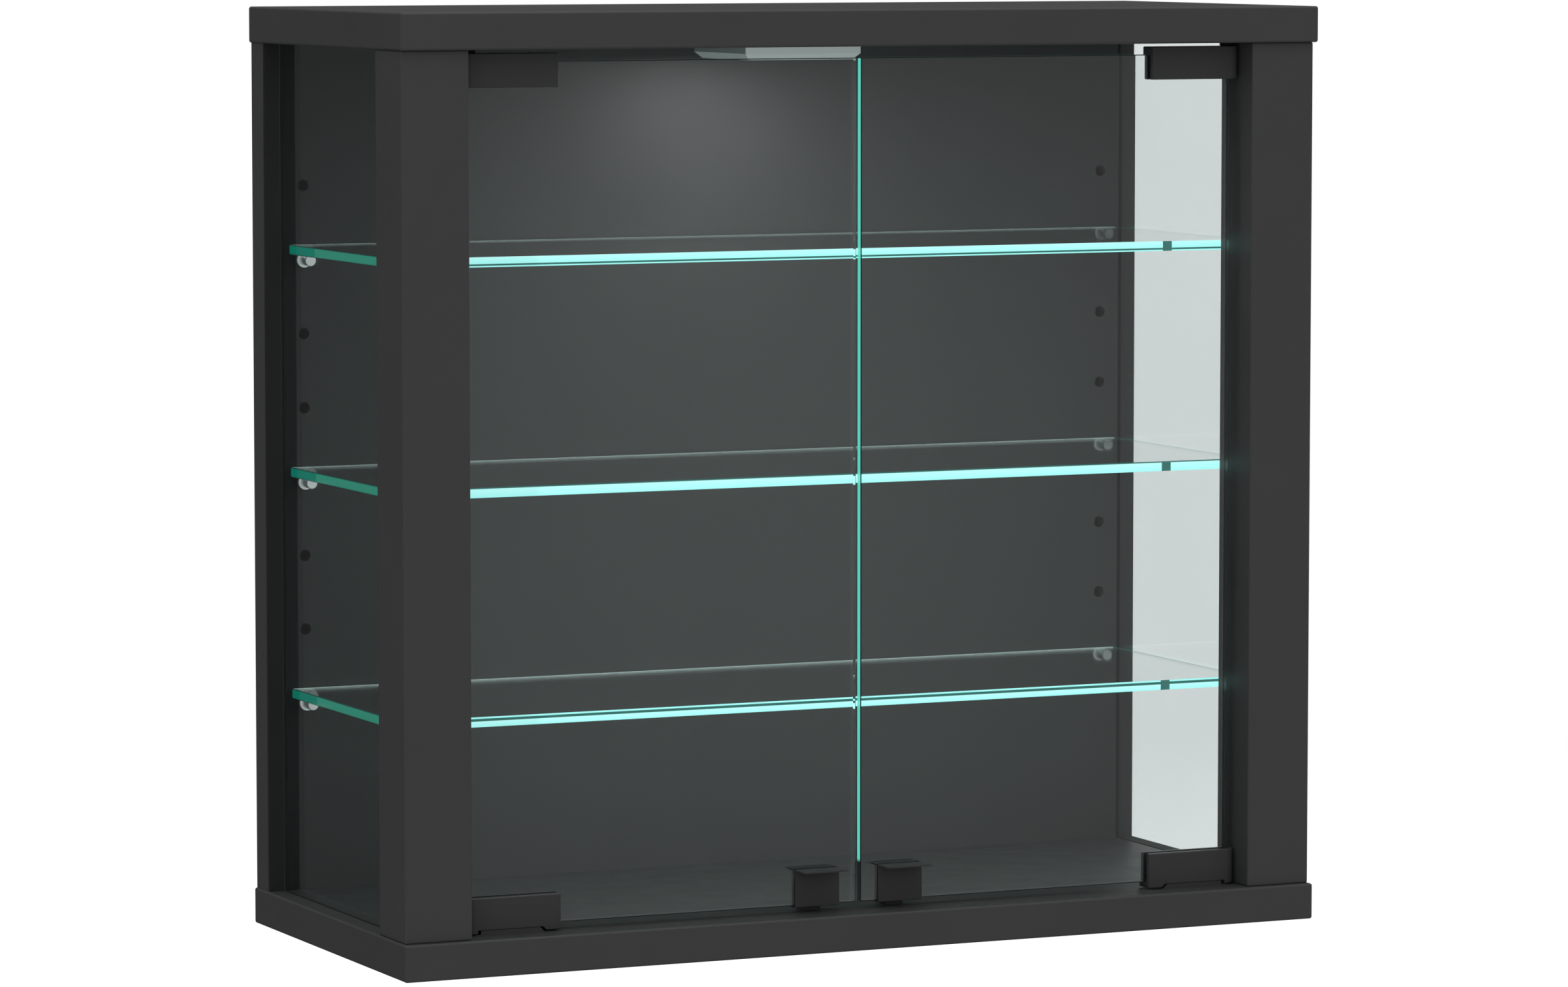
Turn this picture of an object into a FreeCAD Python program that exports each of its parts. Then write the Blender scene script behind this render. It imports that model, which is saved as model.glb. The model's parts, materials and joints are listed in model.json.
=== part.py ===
import FreeCAD, Part
import os

from FreeCAD import Vector

# Wall mounted glass showcase, in millimetres.
# It is drawn with X across from the middle, Y backwards from the front edge of the boards and Z up
# from the underside. export() moves every piece into the row frame, whose origin is the centre of
# the face that lies on the wall, with +Y pointing into the wall.

# Carcass
WIDTH = 600.0
DEPTH = 256.0
HEIGHT = 562.0
BOARD = 22.0
BOARD_EDGE_RADIUS = 1.5
POST = 42.0
POST_EDGE_RADIUS = 1.0
POST_SIDE_INSET = 1.5
POST_FRONT_INSET = 4.0
INNER_LOW = BOARD
INNER_HIGH = HEIGHT - BOARD
POST_X = -WIDTH / 2 + POST_SIDE_INSET + POST / 2
POST_Y = POST_FRONT_INSET + POST / 2
POST_REAR = POST_FRONT_INSET + POST
BACK_FRONT = DEPTH - BOARD

# Glass
PANE = 5.0
SHELF_GLASS = 6.0
ARRIS = 0.5
SIDE_PANE_X = -WIDTH / 2 + 14.3
GROOVE_CLEARANCE = 0.2
GROOVE_DEPTH = 4.0
TOP_GROOVE_DEPTH = 6.0
SETTING_BLOCK = 2.0

# Shelves and their pins
SHELF_HALF_WIDTH = 280.0
SHELF_FRONT = 51.5
SHELF_REAR = 231.5
PIN_X = 270.0
PIN_FIRST_Z = 137.3
PIN_PITCH = 45.2
PIN_HOLES = 8
PIN_HOLE_RADIUS = 3.5
PIN_HOLE_DEPTH = 12.0
PIN_SPIGOT_RADIUS = 3.45
PIN_SPIGOT_LENGTH = 11.0
PIN_BODY_RADIUS = 3.4
PIN_BODY_LENGTH = 13.0
PIN_COLLAR_RADIUS = 4.7
PIN_COLLAR_LENGTH = 2.0
SHELF_HOLE_ROWS = {"lower": 0, "middle": 3, "upper": 6}

# Doors, drawn for the left side
DOOR_OUTER_X = -251.0
DOOR_INNER_X = -1.5
DOOR_FRONT = 21.5
DOOR_REAR = DOOR_FRONT + PANE
DOOR_LOW = 26.4
DOOR_HIGH = 533.0
DOOR_MID_Y = DOOR_FRONT + PANE / 2

# Pivots
PIVOT_X = -249.2
PIVOT_Y = DOOR_MID_Y
PIVOT_PIN_RADIUS = 2.5
PIVOT_PIN_SEAT = 10.0
PIVOT_PIN_CHAMFER = 0.3
PIVOT_BORE_RADIUS = 2.55
PIVOT_DISC_RADIUS = 5.0
PIVOT_DISC_THICKNESS = 0.5
PIVOT_BUSH_FLANGE_RADIUS = 4.3
PIVOT_BUSH_RADIUS = 3.8
PIVOT_BUSH_DEPTH = 11.0
RUNNING_GAP = 0.2

# Corner clips that clamp the door glass and turn on the pivot pins. The hinge end is rounded about
# the pivot, so that it turns close to the post.
CLIP_FREE_X = -195.0
CLIP_DEPTH = 13.0
CLIP_HEIGHT = 20.0
CLIP_PLATE = 3.0
CLIP_LOW = 22.8
CLIP_BOTTOM_TOP = 44.2
CLIP_HIGH = 537.8
CLIP_EDGE_RADIUS = 0.8
CLIP_PAD = 1.0
SET_SCREW_RADIUS = 2.0
SET_SCREW_XS = (-233.0, -210.0)

# Base plate of the lower pivot, in a relief under the clip. Both ends slope at 45 degrees.
RELIEF_START_X = PIVOT_X + 1.6
RELIEF_END_X = CLIP_FREE_X - 8.8
RELIEF_HEIGHT = 2.4
BASE_GAP = 0.3
BASE_END_GAP = 1.5
BASE_WIDTH = 12.0
BASE_CLEAR_RADIUS = 7.0
BASE_SCREW_XS = (PIVOT_X + 15.0, PIVOT_X + 33.0)

# Door handles: one bent strip clipped over the lower edge of the glass
HANDLE_LOW_X = -42.0
HANDLE_HIGH_X = -13.0
HANDLE_SHEET = 0.8
HANDLE_TOP = 48.2
HANDLE_NOSE_Y = 7.2
HANDLE_TAIL_Y = 33.0
HANDLE_LINER = 0.3
HANDLE_BEND_RADIUS = 0.7

# Magnetic catches behind the handles
CATCH_LOW_X = -33.6
CATCH_HIGH_X = -21.4
CATCH_FRONT = 28.5
CATCH_REAR = 38.0
CATCH_HEIGHT = 14.0
CATCH_EDGE_RADIUS = 1.5
CATCH_SCREW_SETBACK = 3.5
MAGNET_SIZE = (8.0, 2.4, 8.0)
MAGNET_STANDS_PROUD = 0.4
MAGNET_RISE = 3.0

# Light under the top board
LIGHT_SIZE = 77.0
LIGHT_MID_Y = 139.0
LIGHT_HEIGHT = 10.0
LIGHT_BEVEL = 3.9
LIGHT_WALL = 2.0
LENS_SIZE = 64.2
LENS_FLANGE_SIZE = 71.0
CIRCUIT_X = 52.0
CIRCUIT_Y = 50.0
CIRCUIT_MID_Y = LIGHT_MID_Y - 5.0
CIRCUIT_THICKNESS = 1.2
CHIP_SIZE = 3.0
CHIP_HEIGHT = 0.8
CHIP_PITCH = 15.0
INLET_RADIUS = 1.75
INLET_BODY = (7.0, 9.0, 4.4)
INLET_DEPTH = 8.0
LIGHT_SCREW_X = 32.0

# Knock-down fittings hidden in the boards
DOWEL_RADIUS = 4.0
DOWEL_LENGTH = 30.0
POST_DOWEL_X = -265.0
POST_DOWEL_Y = 13.0
BACK_DOWEL_XS = (-150.0, 0.0, 150.0)
FITTING_Y = DEPTH - 11.0
CAM_XS = (-240.0, 240.0)
CAM_RADIUS = 7.5
CAM_DEPTH = 12.5
CAM_SETBACK = 34.0
CAM_BOLT_RADIUS = 3.0
CAM_BOLT_THREAD = 11.0
CAM_RECESS_HALF = 4.0
CAM_RECESS_WIDTH = 1.4
CAM_RECESS_DEPTH = 3.0
TIE_ROD_RADIUS = 3.0
TIE_ROD_CLEARANCE = 0.4
TIE_ROD_TOP = 550.0
INSERT_RADIUS = 5.0
INSERT_LENGTH = 11.0
NUT_POCKET_RADIUS = 7.5
NUT_POCKET_DEPTH = 7.0
NUT_FLANGE_RADIUS = 6.5
NUT_FLANGE_THICKNESS = 1.2
NUT_CORNER_RADIUS = 5.77
NUT_HEIGHT = 5.0

# Keyhole hangers let into the back board
HANGER_X = -200.0
HANGER_LOW = 460.0
HANGER_SIZE = (30.0, 2.0, 60.0)
HANGER_ENTRY_Z = 482.0
HANGER_ENTRY_RADIUS = 6.0
HANGER_SLOT_RADIUS = 3.0
HANGER_SLOT_RISE = 14.0
HANGER_POCKET = (15.0, 9.0, 34.0)
HANGER_SCREW_INSET = 6.0
SCREW_HEAD_RADIUS = 3.2
SCREW_SHANK_RADIUS = 1.6
SCREW_HEAD_HEIGHT = 1.6
SCREW_TIP_LENGTH = 3.0
SCREW_RECESS_HALF = 1.6
SCREW_RECESS_WIDTH = 0.5
SCREW_RECESS_DEPTH = 1.2
BASE_SCREW_LENGTH = 16.0
CATCH_SCREW_LENGTH = 28.0
HANGER_SCREW_LENGTH = 15.0


def block(low_x, high_x, low_y, high_y, low_z, high_z):
    size = (high_x - low_x, high_y - low_y, high_z - low_z)
    return Part.makeBox(*size, Vector(low_x, low_y, low_z))


def centred_block(mid_x, mid_y, low_z, size):
    half_x, half_y = size[0] / 2, size[1] / 2
    return block(mid_x - half_x, mid_x + half_x, mid_y - half_y, mid_y + half_y, low_z, low_z + size[2])


def upright(radius, x, y, low_z, high_z):
    return Part.makeCylinder(radius, high_z - low_z, Vector(x, y, low_z))


def lengthwise(radius, x, z, low_y, high_y):
    """A cylinder along Y."""
    return Part.makeCylinder(radius, high_y - low_y, Vector(x, low_y, z), Vector(0, 1, 0))


def mirrored(shape):
    return shape.mirror(Vector(0, 0, 0), Vector(1, 0, 0))


def both_sides(shape):
    return [shape, mirrored(shape)]


def edges_along(shape, direction):
    """Straight edges that run along one axis."""
    axis = Vector(*direction)
    chosen = []
    for edge in shape.Edges:
        if isinstance(edge.Curve, Part.Line) and abs(edge.Curve.Direction.dot(axis)) > 0.999:
            chosen.append(edge)
    return chosen


def circles_at(shape, level):
    """Circular edges that lie flat at one level."""
    return [e for e in shape.Edges if isinstance(e.Curve, Part.Circle) and abs(e.Curve.Center.z - level) < 0.01]


def flat_edges(shape, levels):
    """Edges that lie wholly at one of the given levels."""
    chosen = []
    for edge in shape.Edges:
        box = edge.BoundBox
        if box.ZLength < 0.001 and any(abs(box.ZMin - level) < 0.001 for level in levels):
            chosen.append(edge)
    return chosen


def arrised(pane):
    """Break every edge of a glass plate, as ground edges are."""
    return pane.makeChamfer(ARRIS, pane.Edges)


def export(name, shape):
    """Write one node in the row frame. A list of shapes becomes a group of separate solids."""
    group = shape if isinstance(shape, list) else [shape]
    placed = [piece.translated(Vector(0, -DEPTH, -HEIGHT / 2)) for piece in group]
    result = placed[0] if len(placed) == 1 else Part.makeCompound(placed)
    result.exportStep("parts/%s.step" % name)
    print("%-24s solids %2d  volume %10.1f  valid %s" % (name, len(result.Solids), result.Volume, result.isValid()))


# ---------------------------------------------------------------- cutters shared by several pieces

def pane_groove(low_z, high_z):
    """The space that the left side pane's edges need in the boards, post and back board."""
    half = PANE / 2 + GROOVE_CLEARANCE
    low_y = POST_REAR - GROOVE_DEPTH - GROOVE_CLEARANCE
    high_y = BACK_FRONT + GROOVE_DEPTH + GROOVE_CLEARANCE
    return block(SIDE_PANE_X - half, SIDE_PANE_X + half, low_y, high_y, low_z, high_z)


def all_pane_grooves():
    return both_sides(pane_groove(INNER_LOW - GROOVE_DEPTH, INNER_HIGH + TOP_GROOVE_DEPTH))


def dowel_places():
    post_places = [(POST_DOWEL_X, POST_DOWEL_Y), (-POST_DOWEL_X, POST_DOWEL_Y)]
    return post_places + [(x, FITTING_Y) for x in BACK_DOWEL_XS]


def all_dowels():
    half = DOWEL_LENGTH / 2
    pieces = []
    for x, y in dowel_places():
        for level in (INNER_LOW, INNER_HIGH):
            rod = upright(DOWEL_RADIUS, x, y, level - half, level + half)
            pieces.append(rod.makeChamfer(1.0, [e for e in rod.Edges if isinstance(e.Curve, Part.Circle)]))
    return pieces


def dowel_holes():
    half = DOWEL_LENGTH / 2 + 1.0
    return [upright(DOWEL_RADIUS, x, y, level - half, level + half)
            for x, y in dowel_places() for level in (INNER_LOW, INNER_HIGH)]


def cam_bolt(x, top):
    """One connecting bolt: threaded into the board, with its head inside the cam disc."""
    level, away = (INNER_HIGH, 1) if top else (INNER_LOW, -1)
    reach = CAM_SETBACK - 2.0
    low, high = sorted((level + away * CAM_BOLT_THREAD, level - away * reach))
    return upright(CAM_BOLT_RADIUS, x, FITTING_Y, low, high)


def all_cam_bolts():
    return [cam_bolt(x, top) for x in CAM_XS for top in (True, False)]


def cam_disc_space(x, top):
    level = INNER_HIGH - CAM_SETBACK if top else INNER_LOW + CAM_SETBACK
    return lengthwise(CAM_RADIUS, x, level, DEPTH - CAM_DEPTH, DEPTH)


def cam_disc(x, top):
    """A cam disc with its cross recess, open towards the bolt."""
    level = INNER_HIGH - CAM_SETBACK if top else INNER_LOW + CAM_SETBACK
    disc = cam_disc_space(x, top).cut(cam_bolt(x, top))
    arms = [block(x - half_x, x + half_x, DEPTH - CAM_RECESS_DEPTH, DEPTH, level - half_z, level + half_z)
            for half_x, half_z in ((CAM_RECESS_HALF, CAM_RECESS_WIDTH / 2), (CAM_RECESS_WIDTH / 2, CAM_RECESS_HALF))]
    return disc.cut(arms)


def tie_rods():
    return both_sides(upright(TIE_ROD_RADIUS, POST_X, POST_Y, 1.0, TIE_ROD_TOP))


def pin_holes(low_y, high_y):
    """Blind holes for the shelf pins, in one face, for both sides."""
    heights = [PIN_FIRST_Z + PIN_PITCH * row for row in range(PIN_HOLES)]
    return [lengthwise(PIN_HOLE_RADIUS, x, z, low_y, high_y) for x in (-PIN_X, PIN_X) for z in heights]


# ---------------------------------------------------------------- carcass

def board(low_z):
    plate = block(-WIDTH / 2, WIDTH / 2, 0, DEPTH, low_z, low_z + BOARD)
    return plate.makeFillet(BOARD_EDGE_RADIUS, plate.Edges)


def bottom_board():
    shaft = both_sides(upright(TIE_ROD_RADIUS + TIE_ROD_CLEARANCE, POST_X, POST_Y, 0, INNER_LOW))
    pockets = both_sides(upright(NUT_POCKET_RADIUS, POST_X, POST_Y, 0, NUT_POCKET_DEPTH))
    pin_seats = both_sides(upright(PIVOT_PIN_RADIUS, PIVOT_X, PIVOT_Y, INNER_LOW - PIVOT_PIN_SEAT, INNER_LOW))
    tools = all_pane_grooves() + dowel_holes() + all_cam_bolts() + shaft + pockets + pin_seats
    return board(0).cut(tools + pivot_base_screws() + catch_screws())


def top_board():
    rod_ends = both_sides(upright(TIE_ROD_RADIUS, POST_X, POST_Y, INNER_HIGH, TIE_ROD_TOP))
    bush_seats = both_sides(upright(PIVOT_BUSH_RADIUS, PIVOT_X, PIVOT_Y, INNER_HIGH, INNER_HIGH + PIVOT_BUSH_DEPTH))
    seats = both_sides(upright(INSERT_RADIUS, POST_X, POST_Y, INNER_HIGH, INNER_HIGH + INSERT_LENGTH))
    tools = all_pane_grooves() + dowel_holes() + all_cam_bolts() + rod_ends + bush_seats + seats
    return board(INNER_HIGH).cut(tools + light_screws())


def left_front_post():
    plain = centred_block(POST_X, POST_Y, INNER_LOW, (POST, POST, INNER_HIGH - INNER_LOW))
    post = plain.makeFillet(POST_EDGE_RADIUS, plain.Edges)
    shaft = upright(TIE_ROD_RADIUS + TIE_ROD_CLEARANCE, POST_X, POST_Y, INNER_LOW, INNER_HIGH)
    holes = pin_holes(POST_REAR - PIN_HOLE_DEPTH, POST_REAR)
    return post.cut(all_pane_grooves() + dowel_holes() + holes + [shaft])


def back_board():
    edge = WIDTH / 2 - POST_SIDE_INSET
    plain = block(-edge, edge, BACK_FRONT, DEPTH, INNER_LOW, INNER_HIGH)
    panel = plain.makeFillet(POST_EDGE_RADIUS, edges_along(plain, (0, 0, 1)))
    cams = [cam_disc_space(x, top) for x in CAM_XS for top in (True, False)]
    holes = pin_holes(BACK_FRONT, BACK_FRONT + PIN_HOLE_DEPTH)
    plate_seat = centred_block(HANGER_X, DEPTH - HANGER_SIZE[1] / 2, HANGER_LOW, HANGER_SIZE)
    head_pocket = block(HANGER_X - HANGER_POCKET[0] / 2, HANGER_X + HANGER_POCKET[0] / 2,
                        DEPTH - HANGER_POCKET[1], DEPTH,
                        HANGER_ENTRY_Z - HANGER_POCKET[0] / 2,
                        HANGER_ENTRY_Z - HANGER_POCKET[0] / 2 + HANGER_POCKET[2])
    hanger_space = both_sides(plate_seat) + both_sides(head_pocket) + hanger_screws()
    return panel.cut(all_pane_grooves() + dowel_holes() + all_cam_bolts() + cams + holes + hanger_space)


def insert():
    """Threaded insert for the tie rod, with a ribbed barrel."""
    barrel = upright(INSERT_RADIUS, POST_X, POST_Y, INNER_HIGH, INNER_HIGH + INSERT_LENGTH)
    return barrel.cut(upright(TIE_ROD_RADIUS, POST_X, POST_Y, INNER_HIGH, INNER_HIGH + INSERT_LENGTH))


def tie_rod_nut():
    """Flanged hexagon nut in the pocket under the bottom board."""
    flange = upright(NUT_FLANGE_RADIUS, POST_X, POST_Y, NUT_POCKET_DEPTH - NUT_FLANGE_THICKNESS, NUT_POCKET_DEPTH)
    middle = Vector(POST_X, POST_Y, NUT_POCKET_DEPTH - NUT_HEIGHT)
    corners = [middle + FreeCAD.Rotation(Vector(0, 0, 1), 60 * turn).multVec(Vector(NUT_CORNER_RADIUS, 0, 0))
               for turn in range(7)]
    hexagon = Part.Face(Part.makePolygon(corners)).extrude(Vector(0, 0, NUT_HEIGHT - NUT_FLANGE_THICKNESS / 2))
    return hexagon.fuse(flange).cut(upright(TIE_ROD_RADIUS, POST_X, POST_Y, 0, BOARD)).removeSplitter()


# ---------------------------------------------------------------- fixed glass and shelves

def side_pane():
    pane = block(SIDE_PANE_X - PANE / 2, SIDE_PANE_X + PANE / 2, POST_REAR - GROOVE_DEPTH,
                 BACK_FRONT + GROOVE_DEPTH, INNER_LOW - GROOVE_DEPTH + SETTING_BLOCK, INNER_HIGH + 3.0)
    return arrised(pane)


def setting_blocks():
    floor = INNER_LOW - GROOVE_DEPTH
    middle = (POST_REAR + BACK_FRONT) / 2
    blocks = []
    for mid_y in (middle - 60.0, middle + 60.0):
        blocks += both_sides(centred_block(SIDE_PANE_X, mid_y, floor, (PANE, 20.0, SETTING_BLOCK)))
    return blocks


def shelf_level(row):
    return PIN_FIRST_Z + PIN_PITCH * row + PIN_BODY_RADIUS


def shelf(row):
    level = shelf_level(row)
    return arrised(block(-SHELF_HALF_WIDTH, SHELF_HALF_WIDTH, SHELF_FRONT, SHELF_REAR, level, level + SHELF_GLASS))


def shelf_pin(x, z, face_y, away):
    """A stepped pin: spigot in the hole, collar on the face, and the peg that the glass lies on."""
    axis = Vector(0, away, 0)
    spigot = Part.makeCylinder(PIN_SPIGOT_RADIUS, PIN_SPIGOT_LENGTH, Vector(x, face_y, z), -axis)
    collar = Part.makeCylinder(PIN_COLLAR_RADIUS, PIN_COLLAR_LENGTH, Vector(x, face_y, z), axis)
    peg = Part.makeCylinder(PIN_BODY_RADIUS, PIN_BODY_LENGTH, Vector(x, face_y, z), axis)
    far_end = face_y + away * PIN_BODY_LENGTH
    rim = [e for e in peg.Edges if isinstance(e.Curve, Part.Circle) and abs(e.Curve.Center.y - far_end) < 0.01]
    return peg.makeFillet(0.5, rim).fuse([collar, spigot]).removeSplitter()


def shelf_pins(row):
    z = PIN_FIRST_Z + PIN_PITCH * row
    pins = []
    for x in (-PIN_X, PIN_X):
        pins.append(shelf_pin(x, z, BACK_FRONT, -1))
        pins.append(shelf_pin(x, z, POST_REAR, 1))
    return pins


# ---------------------------------------------------------------- doors

def door_pane():
    return arrised(block(DOOR_OUTER_X, DOOR_INNER_X, DOOR_FRONT, DOOR_REAR, DOOR_LOW, DOOR_HIGH))


def clip_range(top):
    """Lowest and highest level of a corner clip, and of the slot that takes the glass."""
    if top:
        return CLIP_HIGH - CLIP_HEIGHT, CLIP_HIGH, CLIP_HIGH - CLIP_HEIGHT, DOOR_HIGH
    return CLIP_LOW, CLIP_BOTTOM_TOP, DOOR_LOW, CLIP_BOTTOM_TOP


def clip_blank(low, high):
    """A bar whose hinge end is a half round about the pivot."""
    half = CLIP_DEPTH / 2
    bar = block(PIVOT_X, CLIP_FREE_X, PIVOT_Y - half, PIVOT_Y + half, low, high)
    blank = bar.fuse(upright(half, PIVOT_X, PIVOT_Y, low, high)).removeSplitter()
    free_end = [e for e in edges_along(blank, (0, 0, 1)) if e.CenterOfMass.x > CLIP_FREE_X - 0.01]
    return blank.makeFillet(CLIP_EDGE_RADIUS, free_end + flat_edges(blank, (low, high)))


def slanted_bar(start_x, end_x, half_width, low, high):
    """A bar under the clip. Its free end slopes back at 45 degrees as it rises."""
    corners = [Vector(x, PIVOT_Y - half_width, z) for x, z in
               ((start_x, low), (end_x, low), (end_x - (high - low), high), (start_x, high))]
    return Part.Face(Part.makePolygon(corners + corners[:1])).extrude(Vector(0, 2 * half_width, 0))


def clip_relief():
    """The space under the bottom clip that the base plate stands in."""
    return slanted_bar(RELIEF_START_X, RELIEF_END_X, CLIP_DEPTH / 2 + 1.0, CLIP_LOW, CLIP_LOW + RELIEF_HEIGHT)


def corner_clip(top):
    low, high, slot_low, slot_high = clip_range(top)
    half = CLIP_DEPTH / 2 - CLIP_PLATE
    slot = block(DOOR_OUTER_X, CLIP_FREE_X, PIVOT_Y - half, PIVOT_Y + half, slot_low, slot_high)
    bore = upright(PIVOT_BORE_RADIUS, PIVOT_X, PIVOT_Y, low, high)
    relief = [] if top else [clip_relief()]
    return clip_blank(low, high).cut([slot, bore] + clip_screws(top) + relief)


def screw_level(top):
    slot_low, slot_high = clip_range(top)[2:]
    return (slot_low + slot_high) / 2


def clip_screws(top):
    """Grub screws through the rear plate that press the pad on the glass."""
    rear = PIVOT_Y + CLIP_DEPTH / 2
    return [lengthwise(SET_SCREW_RADIUS, x, screw_level(top), rear - CLIP_PLATE, rear) for x in SET_SCREW_XS]


def socketed_clip_screws(top):
    rear = PIVOT_Y + CLIP_DEPTH / 2
    sockets = [lengthwise(SET_SCREW_RADIUS / 2, x, screw_level(top), rear - CLIP_PLATE / 2, rear)
               for x in SET_SCREW_XS]
    return [screw.cut(socket) for screw, socket in zip(clip_screws(top), sockets)]


def clip_pads(top):
    slot_low, slot_high = clip_range(top)[2:]
    low, high = (slot_low + 1.0, slot_high - 1.5) if top else (slot_low + 1.5, slot_high - 1.0)
    near_x, far_x = DOOR_OUTER_X + 2.0, CLIP_FREE_X - 1.0
    return [block(near_x, far_x, DOOR_FRONT - CLIP_PAD, DOOR_FRONT, low, high),
            block(near_x, far_x, DOOR_REAR, DOOR_REAR + CLIP_PAD, low, high)]


def handle_section(inner, outer):
    """A U round the lower edge of the glass, from the inner to the outer distance from it."""
    low_y, high_y = DOOR_FRONT - outer, DOOR_REAR + outer
    shell = block(HANDLE_LOW_X, HANDLE_HIGH_X, low_y, high_y, DOOR_LOW - outer, HANDLE_TOP)
    space = block(HANDLE_LOW_X, HANDLE_HIGH_X, DOOR_FRONT - inner, DOOR_REAR + inner, DOOR_LOW - inner, HANDLE_TOP)
    return shell.cut(space)


def handle():
    outer = HANDLE_LINER + HANDLE_SHEET
    flange_low = HANDLE_TOP - HANDLE_SHEET
    nose = block(HANDLE_LOW_X, HANDLE_HIGH_X, HANDLE_NOSE_Y, DOOR_FRONT - HANDLE_LINER, flange_low, HANDLE_TOP)
    tail = block(HANDLE_LOW_X, HANDLE_HIGH_X, DOOR_REAR + HANDLE_LINER, HANDLE_TAIL_Y, flange_low, HANDLE_TOP)
    strip = handle_section(HANDLE_LINER, outer).fuse([nose, tail]).removeSplitter()
    bends = [e for e in edges_along(strip, (1, 0, 0)) if e.CenterOfMass.z < DOOR_LOW - outer + 0.01]
    return strip.makeFillet(HANDLE_BEND_RADIUS, bends)


def handle_liner():
    return handle_section(0.0, HANDLE_LINER).common(
        block(HANDLE_LOW_X, HANDLE_HIGH_X, 0, DEPTH, 0, HANDLE_TOP - HANDLE_SHEET))


# ---------------------------------------------------------------- pivots

BASE_TOP = CLIP_LOW + RELIEF_HEIGHT - BASE_GAP


def pivot_base():
    """Base plate beside the pivot, on a thin foot that runs under the clip's hinge end."""
    bar = slanted_bar(PIVOT_X, RELIEF_END_X - BASE_END_GAP, BASE_WIDTH / 2, INNER_LOW, BASE_TOP)
    swing = upright(BASE_CLEAR_RADIUS, PIVOT_X, PIVOT_Y, INNER_LOW + PIVOT_DISC_THICKNESS, BASE_TOP)
    disc = upright(PIVOT_DISC_RADIUS, PIVOT_X, PIVOT_Y, INNER_LOW, INNER_LOW + PIVOT_DISC_THICKNESS)
    plate = bar.cut(swing).fuse(disc).removeSplitter()
    return plate.cut([upright(PIVOT_PIN_RADIUS, PIVOT_X, PIVOT_Y, INNER_LOW, BASE_TOP)] + pivot_base_screws())


def countersunk(x, y, head_level, length):
    """A countersunk wood screw that points down, with its head at head_level."""
    way = Vector(0, 0, -1)
    start = Vector(x, y, head_level)
    straight = length - SCREW_TIP_LENGTH
    head = Part.makeCone(SCREW_HEAD_RADIUS, SCREW_SHANK_RADIUS, SCREW_HEAD_HEIGHT, start, way)
    shank = Part.makeCylinder(SCREW_SHANK_RADIUS, straight, start, way)
    tip = Part.makeCone(SCREW_SHANK_RADIUS, 0.2, SCREW_TIP_LENGTH, start + way * straight, way)
    return head.fuse([shank, tip]).removeSplitter()


def pivot_base_screws():
    screws = []
    for x in BASE_SCREW_XS:
        screws += both_sides(countersunk(x, PIVOT_Y, BASE_TOP, BASE_SCREW_LENGTH))
    return screws


def bottom_pivot_pin():
    high = DOOR_LOW - RUNNING_GAP
    pin = upright(PIVOT_PIN_RADIUS, PIVOT_X, PIVOT_Y, INNER_LOW - PIVOT_PIN_SEAT, high)
    return pin.makeChamfer(PIVOT_PIN_CHAMFER, circles_at(pin, high))


def top_pivot_bush():
    flange = upright(PIVOT_BUSH_FLANGE_RADIUS, PIVOT_X, PIVOT_Y, CLIP_HIGH + RUNNING_GAP, INNER_HIGH)
    body = upright(PIVOT_BUSH_RADIUS, PIVOT_X, PIVOT_Y, INNER_HIGH, INNER_HIGH + PIVOT_BUSH_DEPTH)
    bore = upright(PIVOT_PIN_RADIUS, PIVOT_X, PIVOT_Y, CLIP_HIGH, INNER_HIGH + PIVOT_BUSH_DEPTH - 1.0)
    return flange.fuse(body).cut(bore).removeSplitter()


def top_pivot_pin():
    low = DOOR_HIGH + RUNNING_GAP
    pin = upright(PIVOT_PIN_RADIUS, PIVOT_X, PIVOT_Y, low, INNER_HIGH + PIVOT_BUSH_DEPTH - 2.0)
    return pin.makeChamfer(PIVOT_PIN_CHAMFER, circles_at(pin, low))


# ---------------------------------------------------------------- catches

def catch_magnet():
    mid_x = (CATCH_LOW_X + CATCH_HIGH_X) / 2
    mid_y = CATCH_FRONT - MAGNET_STANDS_PROUD + MAGNET_SIZE[1] / 2
    return centred_block(mid_x, mid_y, INNER_LOW + MAGNET_RISE, MAGNET_SIZE)


def catch_screws():
    mid_x = (CATCH_LOW_X + CATCH_HIGH_X) / 2
    return both_sides(countersunk(mid_x, CATCH_REAR - CATCH_SCREW_SETBACK, INNER_LOW + CATCH_HEIGHT, CATCH_SCREW_LENGTH))


def catch():
    plain = block(CATCH_LOW_X, CATCH_HIGH_X, CATCH_FRONT, CATCH_REAR, INNER_LOW, INNER_LOW + CATCH_HEIGHT)
    body = plain.makeFillet(CATCH_EDGE_RADIUS, edges_along(plain, (0, 0, 1)))
    return body.cut([catch_magnet()] + catch_screws())


# ---------------------------------------------------------------- light

def tapered_square(size, low_z, high_z, grow):
    """A square block that widens by grow on every side from its lower to its upper face."""
    wires = []
    for z, half in ((low_z, size / 2), (high_z, size / 2 + grow)):
        corners = [Vector(x * half, LIGHT_MID_Y + y * half, z) for x, y in ((-1, -1), (1, -1), (1, 1), (-1, 1))]
        wires.append(Part.makePolygon(corners + corners[:1]))
    return Part.makeLoft(wires, True, True)


def light_square(size, low_z, high_z):
    return centred_block(0, LIGHT_MID_Y, low_z, (size, size, high_z - low_z))


LIGHT_LOW = INNER_HIGH - LIGHT_HEIGHT
LIGHT_SHOULDER = LIGHT_LOW + LIGHT_BEVEL
LENS_LEDGE = LIGHT_LOW + 3.6
LIGHT_CEILING = INNER_HIGH - LIGHT_WALL
CIRCUIT_LOW = LIGHT_CEILING - 1.2 - CIRCUIT_THICKNESS
LIGHT_REAR = LIGHT_MID_Y + LIGHT_SIZE / 2


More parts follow.
